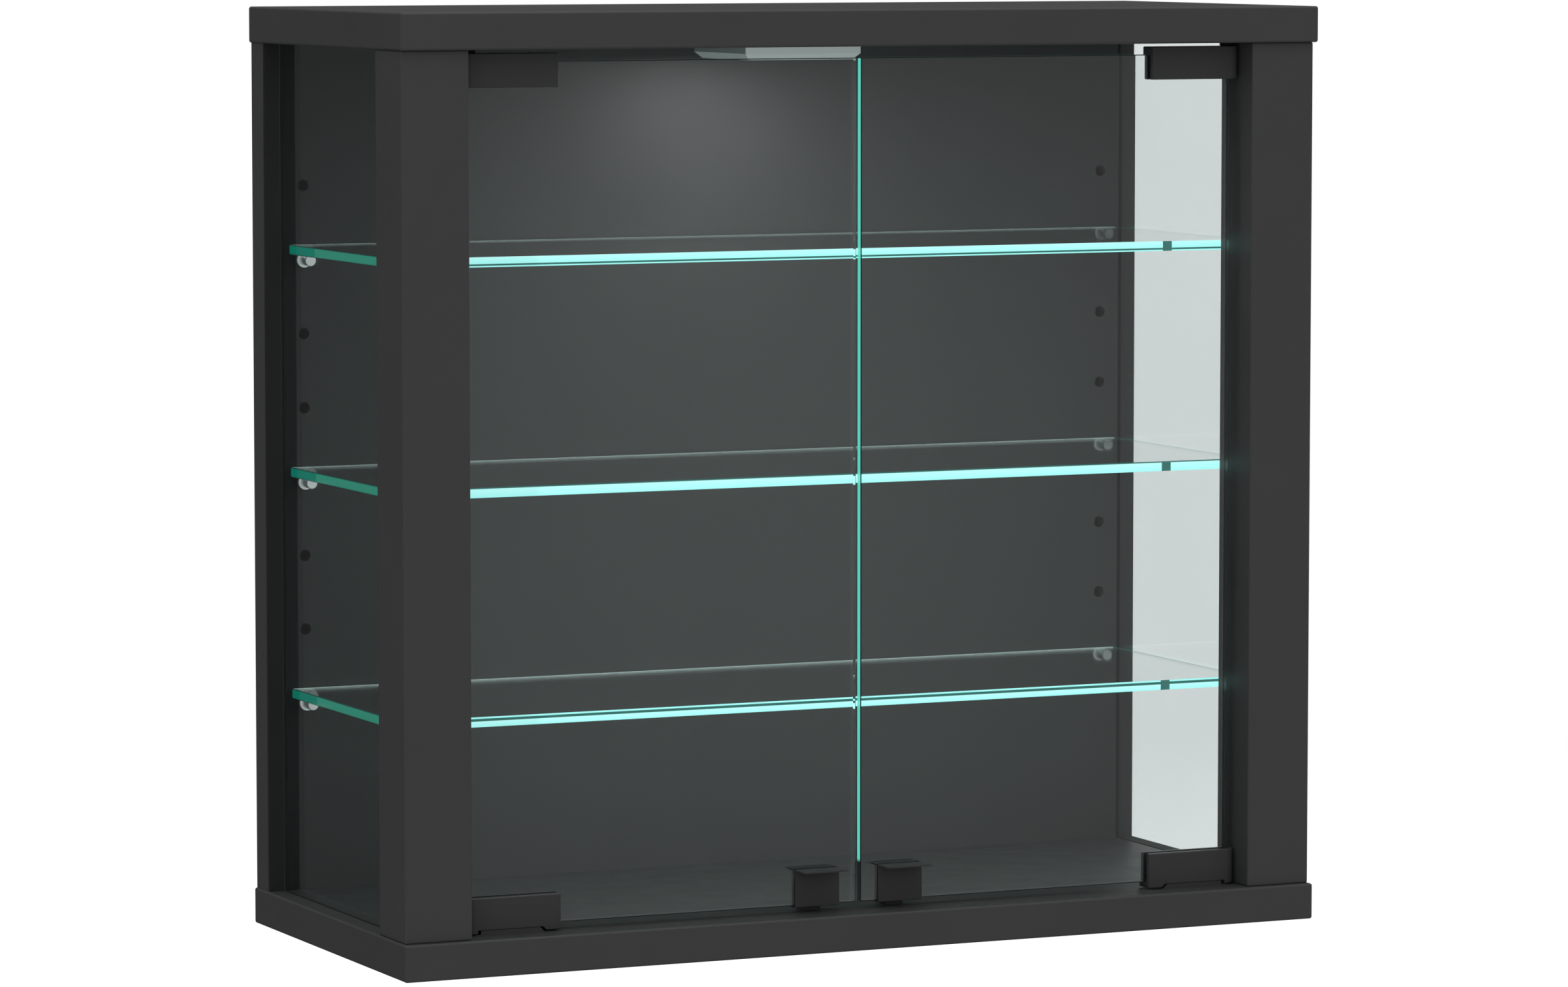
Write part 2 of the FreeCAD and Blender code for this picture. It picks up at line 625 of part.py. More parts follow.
def inlet_block():
    return centred_block(0, LIGHT_REAR - INLET_BODY[1] / 2, LIGHT_CEILING - INLET_BODY[2], INLET_BODY)


def light_inlet_socket():
    level = LIGHT_CEILING - INLET_BODY[2] / 2
    return inlet_block().cut(lengthwise(INLET_RADIUS, 0, level, LIGHT_REAR - INLET_DEPTH, LIGHT_REAR))


def light_housing():
    foot = tapered_square(LIGHT_SIZE - 2 * LIGHT_BEVEL, LIGHT_LOW, LIGHT_SHOULDER, LIGHT_BEVEL)
    plain = light_square(LIGHT_SIZE, LIGHT_SHOULDER, INNER_HIGH)
    shell = foot.fuse(plain.makeFillet(0.6, edges_along(plain, (0, 0, 1)))).removeSplitter()
    room = light_square(LIGHT_SIZE - 2 * LIGHT_WALL, LENS_LEDGE, LIGHT_CEILING)
    mouth = light_square(LENS_SIZE + 0.2, LIGHT_LOW, LENS_LEDGE)
    hollow = shell.cut([room, mouth, inlet_block()] + light_screws())
    bosses = [upright(1.8, x, CIRCUIT_MID_Y + y, LIGHT_CEILING - 1.2, LIGHT_CEILING)
              for x in (-22, 22) for y in (-21, 21)]
    return hollow.fuse(bosses).removeSplitter()


def light_lens():
    panel = light_square(LENS_SIZE, LIGHT_LOW + 0.4, LENS_LEDGE)
    flange = light_square(LENS_FLANGE_SIZE, LENS_LEDGE, LENS_LEDGE + 0.8)
    return panel.fuse(flange).removeSplitter().cut(inlet_block())


def light_circuit_board():
    return centred_block(0, CIRCUIT_MID_Y, CIRCUIT_LOW, (CIRCUIT_X, CIRCUIT_Y, CIRCUIT_THICKNESS))


def light_chips():
    size = (CHIP_SIZE, CHIP_SIZE, CHIP_HEIGHT)
    return [centred_block(CHIP_PITCH * column, CIRCUIT_MID_Y + CHIP_PITCH * row, CIRCUIT_LOW - CHIP_HEIGHT, size)
            for column in (-1, 0, 1) for row in (-1, 0, 1)]


def light_screws():
    head = upright(2.9, -LIGHT_SCREW_X, LIGHT_MID_Y, LIGHT_CEILING - 1.6, LIGHT_CEILING)
    shank = upright(1.5, -LIGHT_SCREW_X, LIGHT_MID_Y, LIGHT_CEILING, INNER_HIGH + 12.0)
    return both_sides(head.fuse(shank).removeSplitter())


# ---------------------------------------------------------------- hangers

HANGER_SCREW_ZS = (HANGER_LOW + HANGER_SCREW_INSET, HANGER_LOW + HANGER_SIZE[2] - HANGER_SCREW_INSET)


def hanger_screws():
    screws = []
    for z in HANGER_SCREW_ZS:
        start, way = Vector(HANGER_X, DEPTH, z), Vector(0, -1, 0)
        head = Part.makeCone(SCREW_HEAD_RADIUS, SCREW_SHANK_RADIUS, SCREW_HEAD_HEIGHT, start, way)
        shank = Part.makeCylinder(SCREW_SHANK_RADIUS, HANGER_SCREW_LENGTH, start, way)
        screws += both_sides(head.fuse(shank).removeSplitter())
    return screws


def recessed_hanger_screws():
    """The same screws with a cross recess in each head."""
    crosses = []
    for z in HANGER_SCREW_ZS:
        for long_x, long_z in ((SCREW_RECESS_HALF, SCREW_RECESS_WIDTH / 2), (SCREW_RECESS_WIDTH / 2, SCREW_RECESS_HALF)):
            crosses += both_sides(block(HANGER_X - long_x, HANGER_X + long_x, DEPTH - SCREW_RECESS_DEPTH, DEPTH,
                                        z - long_z, z + long_z))
    return [screw.cut(crosses) for screw in hanger_screws()]


def hanger_plate():
    plain = centred_block(HANGER_X, DEPTH - HANGER_SIZE[1] / 2, HANGER_LOW, HANGER_SIZE)
    entry = lengthwise(HANGER_ENTRY_RADIUS, HANGER_X, HANGER_ENTRY_Z, DEPTH - HANGER_SIZE[1], DEPTH)
    slot_end = HANGER_ENTRY_Z + HANGER_SLOT_RISE
    slot = block(HANGER_X - HANGER_SLOT_RADIUS, HANGER_X + HANGER_SLOT_RADIUS, DEPTH - HANGER_SIZE[1], DEPTH,
                 HANGER_ENTRY_Z, slot_end)
    crown = lengthwise(HANGER_SLOT_RADIUS, HANGER_X, slot_end, DEPTH - HANGER_SIZE[1], DEPTH)
    return plain.cut([entry, slot, crown] + hanger_screws())


# ---------------------------------------------------------------- export

def export_pair(left_name, right_name, left_shape):
    export(left_name, left_shape)
    if isinstance(left_shape, list):
        export(right_name, [mirrored(piece) for piece in left_shape])
    else:
        export(right_name, mirrored(left_shape))


os.makedirs("parts", exist_ok=True)

export("bottom_board", bottom_board())
export("top_board", top_board())
export_pair("left_front_post", "right_front_post", left_front_post())
export("back_board", back_board())

export_pair("left_side_glass", "right_side_glass", side_pane())
export("glass_setting_blocks", setting_blocks())

for place, hole_row in SHELF_HOLE_ROWS.items():
    export("%s_shelf" % place, shelf(hole_row))
    export("%s_shelf_pins" % place, shelf_pins(hole_row))

export_pair("left_door_glass", "right_door_glass", door_pane())
export_pair("left_door_bottom_clip", "right_door_bottom_clip", corner_clip(False))
export_pair("left_door_top_clip", "right_door_top_clip", corner_clip(True))
export_pair("left_clip_pads", "right_clip_pads", clip_pads(False) + clip_pads(True))
export_pair("left_clip_screws", "right_clip_screws", socketed_clip_screws(False) + socketed_clip_screws(True))
export_pair("left_door_handle", "right_door_handle", handle())
export_pair("left_handle_liner", "right_handle_liner", handle_liner())

export_pair("left_pivot_base", "right_pivot_base", pivot_base())
export("pivot_base_screws", pivot_base_screws())
export("bottom_pivot_pins", both_sides(bottom_pivot_pin()))
export_pair("left_top_pivot_bush", "right_top_pivot_bush", top_pivot_bush())
export("top_pivot_pins", both_sides(top_pivot_pin()))

export_pair("left_catch", "right_catch", catch())
export("catch_magnets", both_sides(catch_magnet()))
export("catch_screws", catch_screws())

export("light_housing", light_housing())
export("light_lens", light_lens())
export("light_circuit_board", light_circuit_board())
export("light_chips", light_chips())
export("light_inlet_socket", light_inlet_socket())
export("light_screws", light_screws())

export("dowels", all_dowels())
export("cam_discs", [cam_disc(x, top) for x in CAM_XS for top in (True, False)])
export("cam_bolts", all_cam_bolts())
export("post_tie_rods", tie_rods())
export("tie_rod_inserts", both_sides(insert()))
export("tie_rod_nuts", both_sides(tie_rod_nut()))

export_pair("left_hanger_plate", "right_hanger_plate", hanger_plate())
export("hanger_screws", recessed_hanger_screws())
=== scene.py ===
import bmesh
import bpy
import json
import math
from mathutils import Matrix, Vector

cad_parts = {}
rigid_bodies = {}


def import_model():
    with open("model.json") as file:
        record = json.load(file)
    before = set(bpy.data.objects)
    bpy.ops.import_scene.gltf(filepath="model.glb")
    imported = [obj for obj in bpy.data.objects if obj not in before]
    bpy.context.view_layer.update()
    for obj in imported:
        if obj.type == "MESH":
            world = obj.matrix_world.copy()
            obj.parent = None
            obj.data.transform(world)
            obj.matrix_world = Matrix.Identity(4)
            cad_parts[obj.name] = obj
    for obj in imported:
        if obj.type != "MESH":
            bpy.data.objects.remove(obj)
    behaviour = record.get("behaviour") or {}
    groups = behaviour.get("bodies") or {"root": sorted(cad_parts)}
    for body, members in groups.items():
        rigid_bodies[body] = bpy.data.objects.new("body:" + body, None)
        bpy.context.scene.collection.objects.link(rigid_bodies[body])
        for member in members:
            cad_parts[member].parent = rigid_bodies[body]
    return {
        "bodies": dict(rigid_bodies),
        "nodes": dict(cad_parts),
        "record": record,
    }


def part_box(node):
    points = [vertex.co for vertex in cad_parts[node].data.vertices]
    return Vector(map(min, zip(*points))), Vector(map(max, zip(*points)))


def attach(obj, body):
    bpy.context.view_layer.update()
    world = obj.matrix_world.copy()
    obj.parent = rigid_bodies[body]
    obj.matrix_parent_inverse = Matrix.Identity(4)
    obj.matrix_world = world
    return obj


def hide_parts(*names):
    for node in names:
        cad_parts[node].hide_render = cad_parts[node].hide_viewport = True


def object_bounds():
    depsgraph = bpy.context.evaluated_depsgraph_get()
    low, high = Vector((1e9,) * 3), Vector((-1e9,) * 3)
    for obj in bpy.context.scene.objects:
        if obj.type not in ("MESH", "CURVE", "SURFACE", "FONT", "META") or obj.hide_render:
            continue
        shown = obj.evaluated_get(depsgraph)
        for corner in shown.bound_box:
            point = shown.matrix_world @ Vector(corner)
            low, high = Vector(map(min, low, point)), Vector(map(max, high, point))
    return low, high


# Looks of the wall mounted glass showcase, in metres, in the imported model's frame:
# +X across, +Y into the wall, +Z up, with the origin in the middle of the rear face.

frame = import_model()
cad_low, cad_high = [list(corner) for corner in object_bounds()]
nodes = frame["nodes"]
MM = 0.001


# ---------------------------------------------------------------- node helpers

def linear(red, green, blue):
    """A colour given on the usual 0 to 255 screen scale, as linear light."""
    def channel(value):
        value = value / 255
        return value / 12.92 if value <= 0.04045 else ((value + 0.055) / 1.055) ** 2.4
    return (channel(red), channel(green), channel(blue), 1.0)


def new_material(name):
    material = bpy.data.materials.new(name)
    material.use_nodes = True
    tree = material.node_tree
    return material, tree, tree.nodes["Principled BSDF"], tree.nodes["Material Output"]


def add_node(tree, kind, **values):
    """A shader node, with its properties and unlinked inputs set by name."""
    node = tree.nodes.new(kind)
    for name, value in values.items():
        label = name.replace("_", " ")
        if label in node.inputs:
            node.inputs[label].default_value = value
        else:
            setattr(node, name, value)
    return node


def place_coordinates(tree, scale=(1, 1, 1)):
    """Points of the surface in the frame, stretched by scale."""
    source = add_node(tree, "ShaderNodeTexCoord")
    mapping = add_node(tree, "ShaderNodeMapping")
    mapping.inputs["Scale"].default_value = scale
    tree.links.new(source.outputs["Object"], mapping.inputs["Vector"])
    return mapping.outputs["Vector"]


def noise(tree, vector, scale, detail=3.0):
    node = add_node(tree, "ShaderNodeTexNoise", Scale=scale, Detail=detail)
    tree.links.new(vector, node.inputs["Vector"])
    return node.outputs["Fac"]


def ramp(tree, source, stops):
    """Colours along a 0 to 1 value. stops are (position, colour) pairs."""
    node = add_node(tree, "ShaderNodeValToRGB")
    while len(node.color_ramp.elements) < len(stops):
        node.color_ramp.elements.new(0.5)
    for element, (position, colour) in zip(node.color_ramp.elements, stops):
        element.position = position
        element.color = colour
    tree.links.new(source, node.inputs["Fac"])
    return node.outputs["Color"]


def remap(tree, source, from_low, from_high, to_low=0.0, to_high=1.0):
    node = add_node(tree, "ShaderNodeMapRange", From_Min=from_low, From_Max=from_high,
                    To_Min=to_low, To_Max=to_high)
    tree.links.new(source, node.inputs["Value"])
    return node.outputs["Result"]


def bump(tree, shader, height, strength, distance):
    node = add_node(tree, "ShaderNodeBump", Strength=strength, Distance=distance)
    tree.links.new(height, node.inputs["Height"])
    tree.links.new(node.outputs["Normal"], shader.inputs["Normal"])


def feed(tree, slots, values):
    """Fills each slot with its value, which is a socket to link or a plain value to set."""
    for slot, value in zip(slots, values):
        if isinstance(value, bpy.types.NodeSocket):
            tree.links.new(value, slot)
        else:
            slot.default_value = value


def math_node(tree, operation, *values):
    node = add_node(tree, "ShaderNodeMath", operation=operation)
    feed(tree, node.inputs, values)
    return node.outputs[0]


def between(tree, value, low, high):
    """1 where value lies between low and high, otherwise 0."""
    return math_node(tree, "COMPARE", value, (low + high) / 2, (high - low) / 2)


def mixed(tree, factor, first, second):
    """A number that goes from first to second as the factor goes from 0 to 1."""
    node = add_node(tree, "ShaderNodeMix", data_type="FLOAT")
    feed(tree, (node.inputs["Factor"], *node.inputs[2:4]), (factor, first, second))
    return node.outputs[0]


def mixed_colour(tree, factor, first, second, blend_type="MIX"):
    node = add_node(tree, "ShaderNodeMix", data_type="RGBA", blend_type=blend_type)
    feed(tree, (node.inputs["Factor"], *node.inputs[6:8]), (factor, first, second))
    return node.outputs[2]


def mix_in_clear(tree, factor, shader, output, colour):
    """Ends the material: the shader where the factor is 0, plain see-through colour where it is 1."""
    clear = add_node(tree, "ShaderNodeBsdfTransparent", Color=colour)
    mix = add_node(tree, "ShaderNodeMixShader")
    feed(tree, mix.inputs, (factor, shader.outputs[0], clear.outputs[0]))
    tree.links.new(mix.outputs[0], output.inputs["Surface"])


def split(tree, vector):
    """The X, Y and Z outputs of a vector."""
    node = add_node(tree, "ShaderNodeSeparateXYZ")
    tree.links.new(vector, node.inputs[0])
    return node.outputs


def split_place(tree):
    """X, Y and Z of the surface in the frame."""
    return split(tree, add_node(tree, "ShaderNodeTexCoord").outputs["Object"])


def facing(tree, axis):
    """How squarely the surface looks along an axis, from 0 to 1, whichever way."""
    normal = split(tree, add_node(tree, "ShaderNodeNewGeometry").outputs["Normal"])
    return math_node(tree, "ABSOLUTE", normal[axis])


def shaded(colour, factor):
    return tuple(channel * factor for channel in colour[:3]) + (1.0,)


# ---------------------------------------------------------------- materials

def speckled(name, colour, roughness, grain, relief, spread=0.12, metallic=0.0, specular=0.5):
    """A plain finish with slight colour drift, uneven gloss and a fine grain."""
    material, tree, shader, _ = new_material(name)
    place = place_coordinates(tree)
    drift = noise(tree, place, 14.0)
    tint = ramp(tree, drift, [(0.3, shaded(colour, 1 - spread)), (0.7, shaded(colour, 1 + spread))])
    tree.links.new(tint, shader.inputs["Base Color"])
    gloss = remap(tree, noise(tree, place, 60.0), 0.3, 0.7, roughness - 0.04, roughness + 0.04)
    tree.links.new(gloss, shader.inputs["Roughness"])
    shader.inputs["Metallic"].default_value = metallic
    shader.inputs["Specular IOR Level"].default_value = specular
    bump(tree, shader, noise(tree, place, grain, 2.0), 0.25, relief)
    return material


def brushed(name, colour, roughness, stretch, relief=0.00002, metallic=1.0):
    """Metal or wood with a fine lengthwise grain. stretch is large across the grain and small along it."""
    material, tree, shader, _ = new_material(name)
    lines = noise(tree, place_coordinates(tree, stretch), 1.0, 4.0)
    tint = ramp(tree, lines, [(0.3, shaded(colour, 0.88)), (0.7, shaded(colour, 1.08))])
    tree.links.new(tint, shader.inputs["Base Color"])
    gloss = remap(tree, lines, 0.3, 0.7, roughness - 0.06, roughness + 0.06)
    tree.links.new(gloss, shader.inputs["Roughness"])
    shader.inputs["Metallic"].default_value = metallic
    bump(tree, shader, lines, 0.2, relief)
    return material


def clear_glass(name, tint, shadow_tint):
    """Float glass that bends what is behind it, and lets lamps and soft light pass straight."""
    material, tree, shader, output = new_material(name)
    place = place_coordinates(tree)
    smear = noise(tree, place, 9.0, 2.0)
    colour = ramp(tree, smear, [(0.35, tint), (0.65, shaded(tint, 0.985))])
    tree.links.new(colour, shader.inputs["Base Color"])
    shader.inputs["Roughness"].default_value = 0.0
    shader.inputs["IOR"].default_value = GLASS_IOR
    shader.inputs["Transmission Weight"].default_value = 1.0
    rays = add_node(tree, "ShaderNodeLightPath")
    either = math_node(tree, "MAXIMUM", rays.outputs["Is Shadow Ray"], rays.outputs["Is Diffuse Ray"])
    mix_in_clear(tree, either, shader, output, shadow_tint)
    return material


def painted_glow_edge(name, axis, low, high, stops, glow, inner_glow=0.0, inner_lip=None, break_at=None):
    """The ground edge of a pane, with painted light: it glows in place of the light that is caught inside
    the glass.

    stops are the colours of the painted glow along the axis. From inside the pane the edge can't be seen,
    but for its inner_glow and for inner_lip, a (low, high) stretch of Y that stays dark. break_at is a
    (low, high) stretch of X with no bands, a patch of painted shade in the glow."""
    material, tree, shader, _ = new_material(name)
    place = split_place(tree)
    colour = ramp(tree, remap(tree, place[axis], low, high), stops)
    if break_at:
        colour = mixed_colour(tree, between(tree, place["X"], *break_at), colour, SHADE_PATCH_TEAL)
    body = mixed_colour(tree, 1.0, colour, EDGE_BODY, "MULTIPLY")
    tree.links.new(body, shader.inputs["Base Color"])
    tree.links.new(colour, shader.inputs["Emission Color"])
    outside = math_node(tree, "SUBTRACT", 1.0, add_node(tree, "ShaderNodeNewGeometry").outputs["Backfacing"])
    tree.links.new(remap(tree, outside, 0.0, 1.0, inner_glow, glow), shader.inputs["Emission Strength"])
    if inner_lip:
        lip = between(tree, place["Y"], *inner_lip)
        tree.links.new(math_node(tree, "MAXIMUM", outside, lip), shader.inputs["Alpha"])
    elif not inner_glow:
        tree.links.new(outside, shader.inputs["Alpha"])
    shader.inputs["Roughness"].default_value = EDGE_ROUGHNESS
    return material


def painted_highlight_line(name, colour, glow):
    """An arris with a painted highlight, which glows on both its sides."""
    material, tree, shader, _ = new_material(name)
    streak = noise(tree, place_coordinates(tree), 40.0, 1.0)
    tint = ramp(tree, streak, [(0.35, shaded(colour, 0.9)), (0.65, colour)])
    tree.links.new(tint, shader.inputs["Emission Color"])
    shader.inputs["Emission Strength"].default_value = glow
    shader.inputs["Base Color"].default_value = shaded(colour, 0.3)
    shader.inputs["Roughness"].default_value = EDGE_ROUGHNESS
    return material


def with_painted_glow(material, colour, glows):
    """Paints a little light into a finish, as a glow. glows says how much, for the faces that look along
    each axis.
    """
    tree = material.node_tree
    shader = tree.nodes["Principled BSDF"]
    total = 0.0
    for axis, glow in glows.items():
        share = math_node(tree, "POWER", facing(tree, axis), 3.0)
        total = math_node(tree, "ADD", total, math_node(tree, "MULTIPLY", share, glow))
    tree.links.new(total, shader.inputs["Emission Strength"])
    shader.inputs["Emission Color"].default_value = colour
    return material


GLASS_IOR = 1.5
ARRIS = 0.5 * MM
EDGE_ROUGHNESS = 0.15
# Under the painted glow, an edge's own colour is the glow colour darkened to this share.
EDGE_BODY = (0.12, 0.12, 0.12, 1.0)

# Colours of the painted light on the glass edges and arrises: the edges glow in these colours, the cyans
# bright, the teals, greens and greys as darker bands of painted shade, and the palest as a painted highlight
# on the shelves' rear arris.
BRIGHT_CYAN = linear(166, 250, 246)
PALE_CYAN = linear(190, 255, 252)
BAND_TEAL = linear(32, 100, 92)
SHADE_PATCH_TEAL = linear(48, 105, 98)
END_TEAL = linear(40, 122, 103)
DEEP_GREEN = linear(1, 106, 89)
ARRIS_TEAL = linear(24, 66, 60)
DOOR_CYAN = linear(92, 202, 184)
DOOR_DARK = linear(24, 30, 29)
DOOR_TOP = linear(56, 80, 77)
GROOVE_LINE = linear(50, 54, 53)
REAR_HIGHLIGHT = linear(200, 222, 218)

board_finish = speckled("dark_board_finish", linear(57, 57, 57), 0.5, 2400.0, 0.0000006,
                        spread=0.02, specular=0.3)
catch_finish = speckled("grey_catch_plastic", linear(55, 55, 55), 0.6, 1800.0, 0.00004)
black_finish = speckled("black_powder_coat", linear(53, 53, 54), 0.38, 2600.0, 0.000001, spread=0.03)
handle_finish = speckled("black_handle_coat", linear(49, 49, 50), 0.38, 2600.0, 0.000001, spread=0.03)
pad_finish = speckled("soft_pad_rubber", linear(38, 38, 38), 0.8, 1500.0, 0.00005)
plastic_finish = speckled("black_moulded_plastic", linear(20, 20, 21), 0.5, 1800.0, 0.00004)
silver_lacquer_painted_glow = speckled("silver_lacquer_painted_glow", linear(156, 164, 162), 0.34, 2400.0, 0.00001,
                          spread=0.03, metallic=0.1)
# Painted light: the housing's faces that look along Y and Z glow a little.
silver_with_painted_glow = with_painted_glow(silver_lacquer_painted_glow, linear(228, 240, 238), {"Y": 0.155, "Z": 0.17})
circuit_finish = speckled("white_circuit_board", linear(215, 220, 214), 0.45, 900.0, 0.00002, spread=0.05)
chip_finish = speckled("yellow_phosphor", linear(240, 215, 90), 0.35, 3000.0, 0.00002, spread=0.05)
beech_finish = brushed("beech_dowel", linear(190, 150, 105), 0.6, (900.0, 900.0, 60.0), metallic=0.0)
steel_finish = brushed("zinc_plated_steel", linear(190, 192, 196), 0.3, (500.0, 500.0, 4000.0))
brass_finish = brushed("turned_brass", linear(205, 180, 110), 0.3, (500.0, 500.0, 4000.0))
magnet_finish = brushed("nickel_magnet", linear(165, 168, 172), 0.25, (700.0, 3000.0, 700.0))
polished_chrome_painted_glow = brushed("polished_chrome_painted_glow", linear(225, 228, 230), 0.22, (3000.0, 200.0, 3000.0),
                          relief=0.000003, metallic=0.6)
# Painted highlight: the pins' faces that look along Y glow.
chrome_with_painted_glow = with_painted_glow(polished_chrome_painted_glow, linear(240, 246, 244), {"Y": 0.42})
door_glass = clear_glass("door_glass_faces", (0.90, 0.94, 0.935, 1.0), (0.86, 0.9, 0.895, 1.0))
side_glass = clear_glass("side_glass_faces", (0.90, 0.945, 0.94, 1.0), (0.6, 0.64, 0.635, 1.0))
shelf_glass = clear_glass("shelf_glass_faces", (0.93, 0.965, 0.96, 1.0), (0.88, 0.94, 0.93, 1.0))


def lens_material():
    """Frosted plastic lit from behind, a little uneven."""
    material, tree, shader, _ = new_material("frosted_lens")
    place = place_coordinates(tree)
    grain = noise(tree, place, 900.0)
    shader.inputs["Base Color"].default_value = linear(240, 240, 236)
    tree.links.new(remap(tree, grain, 0.3, 0.7, 0.5, 0.6), shader.inputs["Roughness"])
    glow = ramp(tree, noise(tree, place, 30.0), [(0.3, linear(245, 248, 250)), (0.7, linear(255, 255, 255))])
    tree.links.new(glow, shader.inputs["Emission Color"])
    shader.inputs["Emission Strength"].default_value = 3.0
    bump(tree, shader, grain, 0.3, 0.00004)
    return material


def back_board_painted_corner_shade():
    """The board finish, with painted shade: a darker strip on the front face, in the corner beside the left
    pane.
    """
    material = board_finish.copy()
    material.name = "back_board_painted_corner_shade"
    tree = material.node_tree
    shader = tree.nodes["Principled BSDF"]
    tint = shader.inputs["Base Color"].links[0].from_socket
    place = split_place(tree)
    shade = ramp(tree, remap(tree, place["X"], *CORNER_SHADE_SPAN), SHADE_STOPS)
    front = math_node(tree, "LESS_THAN", place["Y"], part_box("back_board")[0].y + MM)
    shaded_tint = mixed_colour(tree, front, tint, shade, "MULTIPLY")
    tree.links.new(shaded_tint, shader.inputs["Base Color"])
    return material


# Painted shade across the corner, from the pane inwards: deep shade, half shade, none.
CORNER_SHADE_SPAN = (-284 * MM, -268 * MM)
SHADE_STOPS = [(position, (level, level, level, 1.0)) for position, level in (
    (0.0, 0.4), (0.52, 0.4), (0.56, 0.75), (0.76, 0.75), (0.82, 1.0))]

FINISH_OF_SLOT = {
    "dark_board": board_finish,
    "polished_pin": chrome_with_painted_glow,
    "black_metal": black_finish,
    "soft_pad": pad_finish,
    "zinc_steel": steel_finish,
    "bearing_brass": brass_finish,
    "black_plastic": plastic_finish,
    "magnet_block": magnet_finish,
    "silver_housing": silver_with_painted_glow,
    "frosted_lens": lens_material(),
    "circuit": circuit_finish,
    "led_chip": chip_finish,
    "beech": beech_finish,
    "clear_glass": door_glass,
}
FINISH_OF_NODE = {
    # The back board has a strip of painted shade in its left corner.
    "back_board": back_board_painted_corner_shade(),
    "left_door_handle": handle_finish,
    "right_door_handle": handle_finish,
    "left_catch": catch_finish,
    "right_catch": catch_finish,
}


def dress_cad_nodes():
    """Gives every CAD node the finish of its material slot, or its own."""
    for entry in frame["record"]["subparts"]:
        finish = FINISH_OF_NODE.get(entry["node"]) or FINISH_OF_SLOT[entry["material_slot"]]
        piece = nodes[entry["node"]]
        piece.data.materials.clear()
        piece.data.materials.append(finish)


# ---------------------------------------------------------------- glass panes

def mesh_object(name, shape, materials):
    mesh = bpy.data.meshes.new(name)
    bmesh.ops.recalc_face_normals(shape, faces=shape.faces)
    shape.to_mesh(mesh)
    shape.free()
    for material in materials:
        mesh.materials.append(material)
    piece = bpy.data.objects.new(name, mesh)
    bpy.context.scene.collection.objects.link(piece)
    return piece


def pane(name, node, body, finish_of):
    """A glass plate with ground edges in place of a CAD node. finish_of(normal) is each face's material."""
    low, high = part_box(node)
    shape = bmesh.new()
    bmesh.ops.create_cube(shape, size=1.0)
    middle, size = (low + high) / 2, high - low
    stretch = Matrix.Translation(middle) @ Matrix.Diagonal((*size, 1.0))
    bmesh.ops.transform(shape, matrix=stretch, verts=shape.verts)
    bmesh.ops.bevel(shape, geom=shape.edges[:], offset=ARRIS, segments=1, affect="EDGES")
    shape.normal_update()
    materials = []
    for face in shape.faces:
        finish = finish_of(face.normal)
        if finish not in materials:
            materials.append(finish)
        face.material_index = materials.index(finish)
    piece = mesh_object(name, shape, materials)
    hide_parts(node)
    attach(piece, body)


def plain_edge(name, colour, glow, inner_glow=0.0):
    return painted_glow_edge(name, "Z", cad_low[2], cad_high[2], [(0.0, shaded(colour, 0.96)), (1.0, colour)],
                      glow, inner_glow)


def steps(*runs):
    """Ramp stops for plain runs of colour, each given as (start, end, colour)."""
    return [(position, colour) for start, end, colour in runs for position in (start, end)]


# The cosine between a normal and an axis: above SQUARE for a flat face, above SLANTED for an arris.
SQUARE = 0.9
SLANTED = 0.6

# Painted light on the glass edges: the bands are painted glow and darker bands of painted shade along each
# edge, and the shelves' front edges get a patch of painted shade across X.
FRONT_SHADE_PATCH = (219.5 * MM, 225.7 * MM)
DOOR_LIP = 2.0 * MM
SIDE_BANDS = steps((0.0, 0.755, END_TEAL), (0.761, 1.0, DEEP_GREEN))
MEETING_BANDS = steps((0.0, 0.0482, DOOR_DARK), (0.0488, 1.0, DOOR_CYAN))
SHELF_BANDS = {
    "upper": [(0.0, BRIGHT_CYAN), (0.12, BRIGHT_CYAN), (0.16, BAND_TEAL), (0.30, BAND_TEAL),
              (0.34, BRIGHT_CYAN), (1.0, PALE_CYAN)],
    "middle": [(0.0, BRIGHT_CYAN), (0.86, PALE_CYAN), (0.90, BAND_TEAL), (1.0, BAND_TEAL)],
    "lower": [(0.0, BRIGHT_CYAN), (0.56, PALE_CYAN), (0.60, BAND_TEAL), (0.82, BAND_TEAL),
              (0.86, BRIGHT_CYAN), (1.0, BRIGHT_CYAN)],
}
# Edges that glow in one painted colour.
arris_painted_glow = plain_edge("glass_arris", ARRIS_TEAL, 1.0)
door_edge = plain_edge("door_glass_edge", DOOR_DARK, 0.6)
side_edge = plain_edge("side_glass_edge", GROOVE_LINE, 0.6, 0.7)
door_top_edge = plain_edge("door_glass_top_edge", DOOR_TOP, 1.0)
rear_painted_highlight = painted_highlight_line("shelf_rear_arris", REAR_HIGHLIGHT, 1.0)


def build_shelf(place):
    node = "%s_shelf" % place
    low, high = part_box(node)
    front = painted_glow_edge("%s_front_edge" % place, "Z", low.z, high.z, SHELF_BANDS[place], 1.0,
                       break_at=FRONT_SHADE_PATCH)
    side = painted_glow_edge("%s_side_edge" % place, "Y", low.y, high.y, SIDE_BANDS, 1.4, 0.6)
    rear = painted_glow_edge("%s_rear_edge" % place, "Z", low.z, high.z, steps((0.0, 1.0, REAR_HIGHLIGHT)), 0.4, 1.2)

    def finish_of(normal):
        if abs(normal.z) > SQUARE:
            return shelf_glass
        if abs(normal.x) > SQUARE:
            return side
        if normal.y < -SLANTED:
            return front
        if normal.y > SQUARE:
            return rear
        return rear_painted_highlight if min(normal.y, normal.z) > SLANTED else arris_painted_glow

    pane("%s_shelf_pane" % place, node, "case", finish_of)


